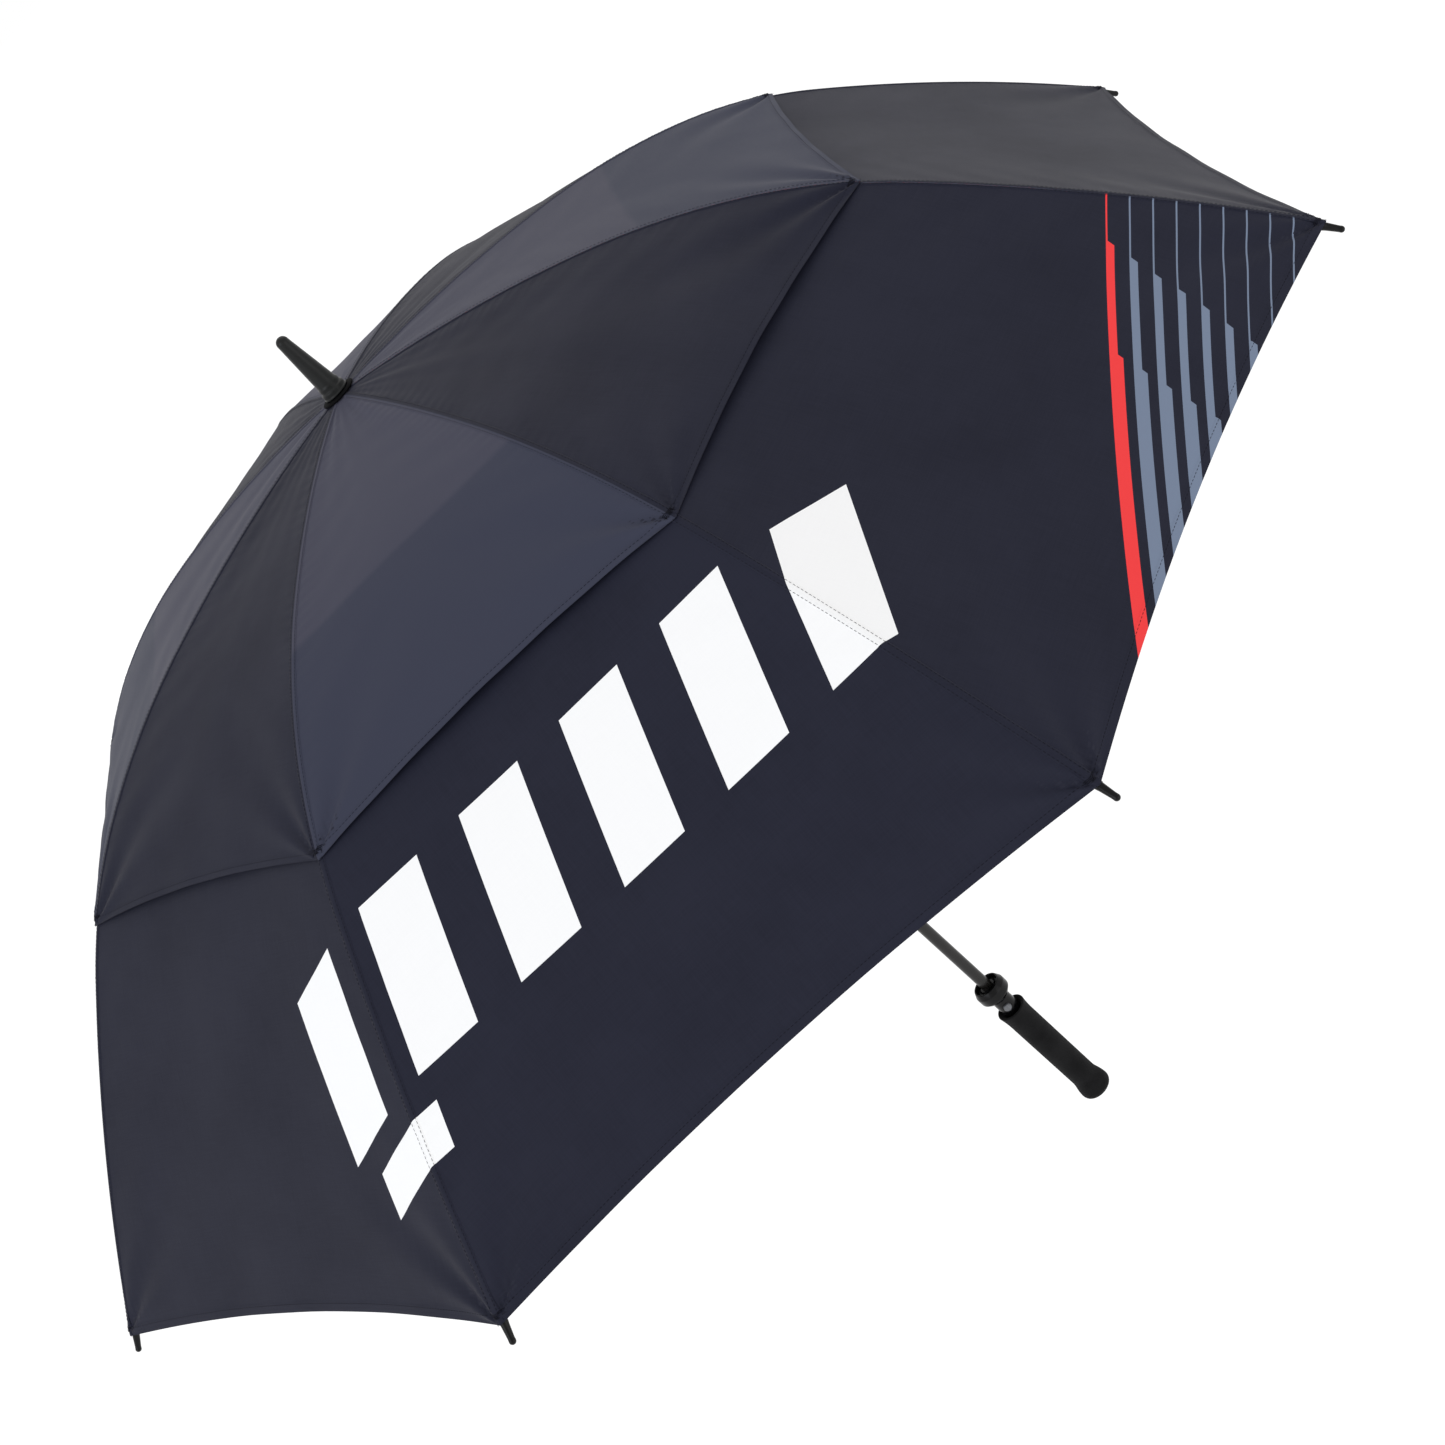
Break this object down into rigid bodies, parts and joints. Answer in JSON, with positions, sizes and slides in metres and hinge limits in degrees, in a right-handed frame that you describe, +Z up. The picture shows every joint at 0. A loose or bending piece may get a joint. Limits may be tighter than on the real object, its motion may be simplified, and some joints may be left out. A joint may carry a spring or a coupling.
{
  "type": "golf umbrella",
  "caption": "Open golf umbrella with a vented double canopy, folding ribs and stretchers, a sliding runner, a spike ferrule and a straight grip.",
  "frame": {"origin": "middle of the grip, on the shaft's axis", "axes": "+Z up the shaft towards the ferrule; -Y is the side of the release button and of the main printed panel; ribs stand at 22.5 degrees from +X and every 45 degrees on"},
  "size_m": [1.198, 1.198, 0.9859],
  "materials": {
    "cloth": "satin",
    "gloss_black": "gloss",
    "hub_plastic": "satin",
    "fibreglass": "satin",
    "shaft_metal": "satin",
    "steel_wire": "satin",
    "button_grey": "gloss",
    "grip_foam": "matte"
  },
  "bodies": {
    "shaft": {"shaft_tube": "shaft_metal", "ferrule": "gloss_black", "top_washer": "gloss_black", "crown_hub": "hub_plastic", "hub_ring_wire": "steel_wire", "runner_stop": "steel_wire", "tip_cup": "gloss_black", "button_spring": "steel_wire", "grip": "grip_foam"},
    "rib_1": {"inner_rib_1": "fibreglass", "upper_canopy_1": "cloth"},
    "rib_end_1": {"outer_rib_1": "fibreglass", "rib_tip_1": "gloss_black", "lower_canopy_1": "cloth"},
    "stretcher_1": {"stretcher_1": "fibreglass"},
    "rib_2": {"inner_rib_2": "fibreglass", "upper_canopy_2": "cloth"},
    "rib_end_2": {"outer_rib_2": "fibreglass", "rib_tip_2": "gloss_black", "lower_canopy_2": "cloth"},
    "stretcher_2": {"stretcher_2": "fibreglass"},
    "rib_3": {"inner_rib_3": "fibreglass", "upper_canopy_3": "cloth"},
    "rib_end_3": {"outer_rib_3": "fibreglass", "rib_tip_3": "gloss_black", "lower_canopy_3": "cloth"},
    "stretcher_3": {"stretcher_3": "fibreglass"},
    "rib_4": {"inner_rib_4": "fibreglass", "upper_canopy_4": "cloth"},
    "rib_end_4": {"outer_rib_4": "fibreglass", "rib_tip_4": "gloss_black", "lower_canopy_4": "cloth"},
    "stretcher_4": {"stretcher_4": "fibreglass"},
    "rib_5": {"inner_rib_5": "fibreglass", "upper_canopy_5": "cloth"},
    "rib_end_5": {"outer_rib_5": "fibreglass", "rib_tip_5": "gloss_black", "lower_canopy_5": "cloth"},
    "stretcher_5": {"stretcher_5": "fibreglass"},
    "rib_6": {"inner_rib_6": "fibreglass", "upper_canopy_6": "cloth"},
    "rib_end_6": {"outer_rib_6": "fibreglass", "rib_tip_6": "gloss_black", "lower_canopy_6": "cloth"},
    "stretcher_6": {"stretcher_6": "fibreglass"},
    "rib_7": {"inner_rib_7": "fibreglass", "upper_canopy_7": "cloth"},
    "rib_end_7": {"outer_rib_7": "fibreglass", "rib_tip_7": "gloss_black", "lower_canopy_7": "cloth"},
    "stretcher_7": {"stretcher_7": "fibreglass"},
    "rib_8": {"inner_rib_8": "fibreglass", "upper_canopy_8": "cloth"},
    "rib_end_8": {"outer_rib_8": "fibreglass", "rib_tip_8": "gloss_black", "lower_canopy_8": "cloth"},
    "stretcher_8": {"stretcher_8": "fibreglass"},
    "runner": {"runner": "hub_plastic", "runner_ring_wire": "steel_wire"},
    "button": {"release_button": "button_grey"}
  },
  "joints": [
    {"name": "rib_1_fold", "type": "hinge", "parent": "shaft", "child": "rib_1", "pos_m": [0.01109, 0.00459, 0.85178], "axis": [-0.3827, 0.9239, 0], "range_deg": [0, 73.86], "stiffness_Nm_per_rad": 2, "springref_deg": -74.48, "deforming": ["upper_canopy_1", "lower_canopy_1", "upper_canopy_2", "lower_canopy_2", "upper_canopy_3", "lower_canopy_3", "upper_canopy_4", "lower_canopy_4", "upper_canopy_5", "lower_canopy_5", "upper_canopy_6", "lower_canopy_6", "upper_canopy_7", "lower_canopy_7", "upper_canopy_8", "lower_canopy_8"]},
    {"name": "rib_1_flex", "type": "hinge", "parent": "rib_1", "child": "rib_end_1", "pos_m": [0.31585, 0.13083, 0.78719], "axis": [-0.3827, 0.9239, 0], "range_deg": [-21.69, 0]},
    {"name": "stretcher_1_swing", "type": "hinge", "parent": "rib_1", "child": "stretcher_1", "pos_m": [0.31337, 0.1298, 0.78138], "axis": [-0.3827, 0.9239, 0], "range_deg": [-147.76, 0]},
    {"name": "rib_2_fold", "type": "hinge", "parent": "shaft", "child": "rib_2", "pos_m": [0.00459, 0.01109, 0.85178], "axis": [-0.9239, 0.3827, 0], "range_deg": [0, 73.86]},
    {"name": "rib_2_flex", "type": "hinge", "parent": "rib_2", "child": "rib_end_2", "pos_m": [0.13083, 0.31585, 0.78719], "axis": [-0.9239, 0.3827, 0], "range_deg": [-21.69, 0]},
    {"name": "stretcher_2_swing", "type": "hinge", "parent": "rib_2", "child": "stretcher_2", "pos_m": [0.1298, 0.31337, 0.78138], "axis": [-0.9239, 0.3827, 0], "range_deg": [-147.76, 0]},
    {"name": "rib_3_fold", "type": "hinge", "parent": "shaft", "child": "rib_3", "pos_m": [-0.00459, 0.01109, 0.85178], "axis": [-0.9239, -0.3827, 0], "range_deg": [0, 73.86]},
    {"name": "rib_3_flex", "type": "hinge", "parent": "rib_3", "child": "rib_end_3", "pos_m": [-0.13083, 0.31585, 0.78719], "axis": [-0.9239, -0.3827, 0], "range_deg": [-21.69, 0]},
    {"name": "stretcher_3_swing", "type": "hinge", "parent": "rib_3", "child": "stretcher_3", "pos_m": [-0.1298, 0.31337, 0.78138], "axis": [-0.9239, -0.3827, 0], "range_deg": [-147.76, 0]},
    {"name": "rib_4_fold", "type": "hinge", "parent": "shaft", "child": "rib_4", "pos_m": [-0.01109, 0.00459, 0.85178], "axis": [-0.3827, -0.9239, 0], "range_deg": [0, 73.86]},
    {"name": "rib_4_flex", "type": "hinge", "parent": "rib_4", "child": "rib_end_4", "pos_m": [-0.31585, 0.13083, 0.78719], "axis": [-0.3827, -0.9239, 0], "range_deg": [-21.69, 0]},
    {"name": "stretcher_4_swing", "type": "hinge", "parent": "rib_4", "child": "stretcher_4", "pos_m": [-0.31337, 0.1298, 0.78138], "axis": [-0.3827, -0.9239, 0], "range_deg": [-147.76, 0]},
    {"name": "rib_5_fold", "type": "hinge", "parent": "shaft", "child": "rib_5", "pos_m": [-0.01109, -0.00459, 0.85178], "axis": [0.3827, -0.9239, 0], "range_deg": [0, 73.86]},
    {"name": "rib_5_flex", "type": "hinge", "parent": "rib_5", "child": "rib_end_5", "pos_m": [-0.31585, -0.13083, 0.78719], "axis": [0.3827, -0.9239, 0], "range_deg": [-21.69, 0]},
    {"name": "stretcher_5_swing", "type": "hinge", "parent": "rib_5", "child": "stretcher_5", "pos_m": [-0.31337, -0.1298, 0.78138], "axis": [0.3827, -0.9239, 0], "range_deg": [-147.76, 0]},
    {"name": "rib_6_fold", "type": "hinge", "parent": "shaft", "child": "rib_6", "pos_m": [-0.00459, -0.01109, 0.85178], "axis": [0.9239, -0.3827, 0], "range_deg": [0, 73.86]},
    {"name": "rib_6_flex", "type": "hinge", "parent": "rib_6", "child": "rib_end_6", "pos_m": [-0.13083, -0.31585, 0.78719], "axis": [0.9239, -0.3827, 0], "range_deg": [-21.69, 0]},
    {"name": "stretcher_6_swing", "type": "hinge", "parent": "rib_6", "child": "stretcher_6", "pos_m": [-0.1298, -0.31337, 0.78138], "axis": [0.9239, -0.3827, 0], "range_deg": [-147.76, 0]},
    {"name": "rib_7_fold", "type": "hinge", "parent": "shaft", "child": "rib_7", "pos_m": [0.00459, -0.01109, 0.85178], "axis": [0.9239, 0.3827, 0], "range_deg": [0, 73.86]},
    {"name": "rib_7_flex", "type": "hinge", "parent": "rib_7", "child": "rib_end_7", "pos_m": [0.13083, -0.31585, 0.78719], "axis": [0.9239, 0.3827, 0], "range_deg": [-21.69, 0]},
    {"name": "stretcher_7_swing", "type": "hinge", "parent": "rib_7", "child": "stretcher_7", "pos_m": [0.1298, -0.31337, 0.78138], "axis": [0.9239, 0.3827, 0], "range_deg": [-147.76, 0]},
    {"name": "rib_8_fold", "type": "hinge", "parent": "shaft", "child": "rib_8", "pos_m": [0.01109, -0.00459, 0.85178], "axis": [0.3827, 0.9239, 0], "range_deg": [0, 73.86]},
    {"name": "rib_8_flex", "type": "hinge", "parent": "rib_8", "child": "rib_end_8", "pos_m": [0.31585, -0.13083, 0.78719], "axis": [0.3827, 0.9239, 0], "range_deg": [-21.69, 0]},
    {"name": "stretcher_8_swing", "type": "hinge", "parent": "rib_8", "child": "stretcher_8", "pos_m": [0.31337, -0.1298, 0.78138], "axis": [0.3827, 0.9239, 0], "range_deg": [-147.76, 0]},
    {"name": "runner_lift", "type": "hinge", "parent": "stretcher_1", "child": "runner", "pos_m": [0.01109, 0.00459, 0.71098], "axis": [-0.3827, 0.9239, 0], "range_deg": [0, 73.91]},
    {"name": "button_press", "type": "slide", "parent": "shaft", "child": "button", "axis": [0, 1, 0], "range_m": [0, 0.0012], "stiffness_N_per_m": 1500, "springref_m": -0.0005, "deforming": ["button_spring"]}
  ],
  "couplings": [
    {"joint": "rib_1_flex", "follows": "rib_1_fold", "ratio": -0.293},
    {"joint": "stretcher_1_swing", "follows": "rib_1_fold", "ratio": -2},
    {"joint": "rib_2_fold", "follows": "rib_1_fold", "ratio": 1},
    {"joint": "rib_2_flex", "follows": "rib_1_fold", "ratio": -0.293},
    {"joint": "stretcher_2_swing", "follows": "rib_1_fold", "ratio": -2},
    {"joint": "rib_3_fold", "follows": "rib_1_fold", "ratio": 1},
    {"joint": "rib_3_flex", "follows": "rib_1_fold", "ratio": -0.293},
    {"joint": "stretcher_3_swing", "follows": "rib_1_fold", "ratio": -2},
    {"joint": "rib_4_fold", "follows": "rib_1_fold", "ratio": 1},
    {"joint": "rib_4_flex", "follows": "rib_1_fold", "ratio": -0.293},
    {"joint": "stretcher_4_swing", "follows": "rib_1_fold", "ratio": -2},
    {"joint": "rib_5_fold", "follows": "rib_1_fold", "ratio": 1},
    {"joint": "rib_5_flex", "follows": "rib_1_fold", "ratio": -0.293},
    {"joint": "stretcher_5_swing", "follows": "rib_1_fold", "ratio": -2},
    {"joint": "rib_6_fold", "follows": "rib_1_fold", "ratio": 1},
    {"joint": "rib_6_flex", "follows": "rib_1_fold", "ratio": -0.293},
    {"joint": "stretcher_6_swing", "follows": "rib_1_fold", "ratio": -2},
    {"joint": "rib_7_fold", "follows": "rib_1_fold", "ratio": 1},
    {"joint": "rib_7_flex", "follows": "rib_1_fold", "ratio": -0.293},
    {"joint": "stretcher_7_swing", "follows": "rib_1_fold", "ratio": -2},
    {"joint": "rib_8_fold", "follows": "rib_1_fold", "ratio": 1},
    {"joint": "rib_8_flex", "follows": "rib_1_fold", "ratio": -0.293},
    {"joint": "stretcher_8_swing", "follows": "rib_1_fold", "ratio": -2},
    {"joint": "runner_lift", "follows": "rib_1_fold", "ratio": 1}
  ]
}
